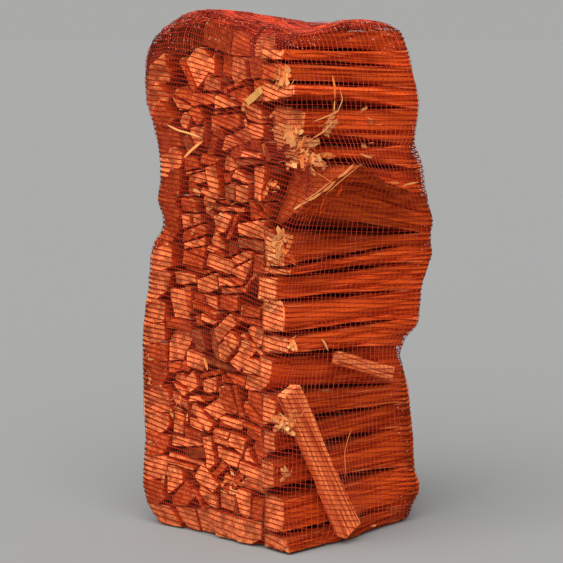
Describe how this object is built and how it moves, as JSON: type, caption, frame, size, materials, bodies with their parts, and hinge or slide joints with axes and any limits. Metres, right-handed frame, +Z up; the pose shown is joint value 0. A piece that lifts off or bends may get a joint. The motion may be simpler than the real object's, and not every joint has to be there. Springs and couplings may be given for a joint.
{
  "type": "net of kindling",
  "caption": "Tall bundle of split softwood kindling, stacked all one way inside a tight red knitted net that is gathered over the top and under the base.",
  "frame": {"origin": "middle of the bounding box, on the floor under the base", "axes": "+Z up the stack; the sticks lie along Y with their sawn ends at -Y (front) and +Y; their long sides face +X and -X"},
  "size_m": [0.2458, 0.2306, 0.5404],
  "materials": {
    "sticks": "split and sawn, bare",
    "net": "thin knitted film, slightly shiny"
  },
  "bodies": {
    "root": {"bottom_stick_1": "sticks", "bottom_stick_2": "sticks", "bottom_stick_3": "sticks", "bottom_stick_4": "sticks", "crossed_stick": "sticks", "inner_sticks": "sticks", "leaning_stick": "sticks", "left_stick_01": "sticks", "left_stick_02": "sticks", "left_stick_03": "sticks", "left_stick_04": "sticks", "left_stick_05": "sticks", "left_stick_06": "sticks", "left_stick_07": "sticks", "left_stick_08": "sticks", "left_stick_09": "sticks", "left_stick_10": "sticks", "left_stick_11": "sticks", "left_stick_12": "sticks", "left_stick_13": "sticks", "left_stick_14": "sticks", "left_stick_15": "sticks", "left_stick_16": "sticks", "left_stick_17": "sticks", "left_stick_18": "sticks", "left_stick_19": "sticks", "left_stick_20": "sticks", "left_stick_21": "sticks", "net": "net", "right_stick_01": "sticks", "right_stick_02": "sticks", "right_stick_03": "sticks", "right_stick_04": "sticks", "right_stick_05": "sticks", "right_stick_06": "sticks", "right_stick_07": "sticks", "right_stick_08": "sticks", "right_stick_09": "sticks", "right_stick_10": "sticks", "right_stick_11": "sticks", "right_stick_12": "sticks", "right_stick_13": "sticks", "right_stick_14": "sticks", "right_stick_15": "sticks", "right_stick_16": "sticks", "right_stick_17": "sticks", "right_stick_18": "sticks", "right_stick_19": "sticks", "top_stick_1": "sticks", "top_stick_2": "sticks", "top_stick_3": "sticks", "top_stick_4": "sticks"}
  },
  "joints": []
}
